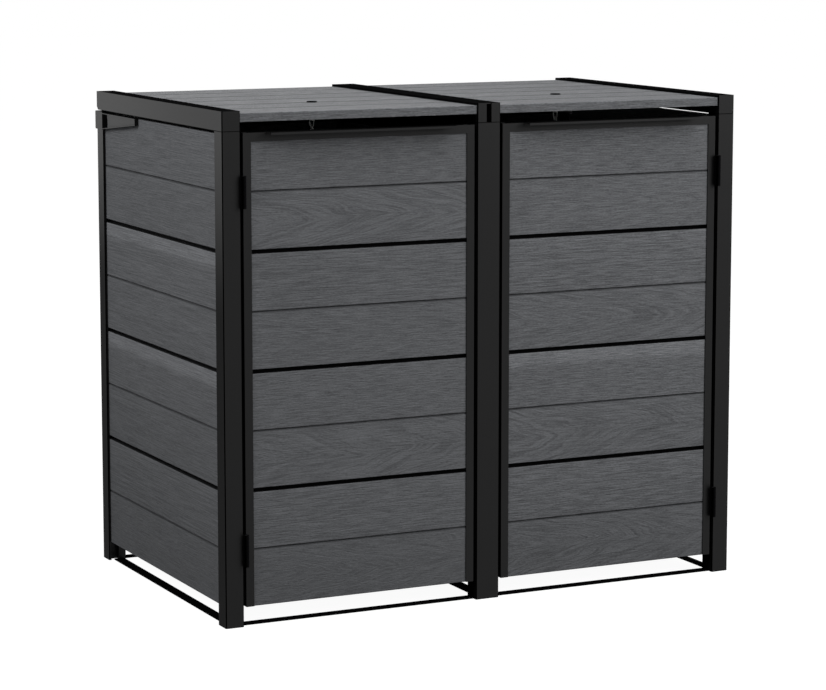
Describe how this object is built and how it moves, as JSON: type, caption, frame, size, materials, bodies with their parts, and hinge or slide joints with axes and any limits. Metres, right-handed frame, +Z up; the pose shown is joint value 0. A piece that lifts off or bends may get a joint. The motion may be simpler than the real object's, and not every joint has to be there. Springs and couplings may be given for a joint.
{
  "type": "wheelie bin store",
  "caption": "Enclosed store for wheeled waste bins, with composite boards in a dark metal frame, front doors with grip strips and hinged lids.",
  "frame": {"origin": "on the ground at the middle of the plan, on the underside of the centre floor bar", "axes": "+X from the left bay to the right bay, +Y from the doors to the rear wall, +Z up"},
  "size_m": [1.3882, 0.8825, 1.214],
  "materials": {
    "coated_aluminium": "matt dark grey powder coat on aluminium profiles",
    "coated_steel": "matt near-black powder coat on steel",
    "hinge_steel": "satin black coated steel",
    "zinc_steel": "dull zinc-plated steel",
    "composite": "matt grey wood-plastic composite with an embossed grain along the board",
    "cap_plastic": "matt dark grey plastic"
  },
  "bodies": {
    "frame": {"centre_floor_bar": "coated_steel", "centre_top_rail": "coated_aluminium", "door_hinge_post_leaves": "hinge_steel", "front_centre_post": "coated_aluminium", "front_floor_bars": "coated_steel", "front_left_post": "coated_aluminium", "front_right_post": "coated_aluminium", "hinge_pins": "zinc_steel", "left_corner_bracket": "coated_aluminium", "left_side_boards": "composite", "lid_hinge_ears": "hinge_steel", "post_top_caps": "cap_plastic", "rear_beam": "coated_aluminium", "rear_beam_caps": "cap_plastic", "rear_centre_post": "coated_aluminium", "rear_floor_bars": "coated_steel", "rear_left_boards": "composite", "rear_left_post": "coated_aluminium", "rear_right_boards": "composite", "rear_right_post": "coated_aluminium", "right_corner_bracket": "coated_aluminium", "right_side_boards": "composite", "side_floor_bars": "coated_steel"},
    "left_door": {"left_door_board_1": "composite", "left_door_board_2": "composite", "left_door_board_3": "composite", "left_door_board_4": "composite", "left_door_grip": "coated_aluminium", "left_door_hinge_leaves": "hinge_steel", "left_door_stiles": "coated_aluminium", "left_door_top_rail": "coated_aluminium"},
    "right_door": {"right_door_board_1": "composite", "right_door_board_2": "composite", "right_door_board_3": "composite", "right_door_board_4": "composite", "right_door_grip": "coated_aluminium", "right_door_hinge_leaves": "hinge_steel", "right_door_stiles": "coated_aluminium", "right_door_top_rail": "coated_aluminium"},
    "left_lid": {"left_lid_board_1": "composite", "left_lid_board_2": "composite", "left_lid_board_3": "composite", "left_lid_bolt": "hinge_steel", "left_lid_eye_nut": "zinc_steel", "left_lid_inner_rail": "coated_aluminium", "left_lid_outer_rail": "coated_aluminium", "left_lid_rail_caps": "cap_plastic"},
    "right_lid": {"right_lid_board_1": "composite", "right_lid_board_2": "composite", "right_lid_board_3": "composite", "right_lid_bolt": "hinge_steel", "right_lid_eye_nut": "zinc_steel", "right_lid_inner_rail": "coated_aluminium", "right_lid_outer_rail": "coated_aluminium", "right_lid_rail_caps": "cap_plastic"},
    "left_chain": {"left_lid_chain": "zinc_steel"},
    "right_chain": {"right_lid_chain": "zinc_steel"}
  },
  "joints": [
    {"name": "left_door_swing", "type": "hinge", "parent": "frame", "child": "left_door", "pos_m": [-0.6405, -0.4285, 0.6], "axis": [0, 0, -1], "range_deg": [0, 120]},
    {"name": "right_door_swing", "type": "hinge", "parent": "frame", "child": "right_door", "pos_m": [0.6405, -0.4285, 0.6], "axis": [0, 0, 1], "range_deg": [0, 120]},
    {"name": "left_lid_lift", "type": "hinge", "parent": "frame", "child": "left_lid", "pos_m": [-0.3375, 0.407, 1.1802], "axis": [-1, 0, 0], "range_deg": [0, 92]},
    {"name": "right_lid_lift", "type": "hinge", "parent": "frame", "child": "right_lid", "pos_m": [0.3375, 0.407, 1.1802], "axis": [-1, 0, 0], "range_deg": [0, 92]},
    {"name": "left_chain_swing", "type": "hinge", "parent": "left_lid", "child": "left_chain", "pos_m": [-0.3375, -0.136, 1.1739], "axis": [-1, 0, 0], "range_deg": [-92, 0]},
    {"name": "right_chain_swing", "type": "hinge", "parent": "right_lid", "child": "right_chain", "pos_m": [0.3375, -0.136, 1.1739], "axis": [-1, 0, 0], "range_deg": [-92, 0]}
  ],
  "couplings": [
    {"joint": "left_chain_swing", "follows": "left_lid_lift", "ratio": -1},
    {"joint": "right_chain_swing", "follows": "right_lid_lift", "ratio": -1}
  ]
}
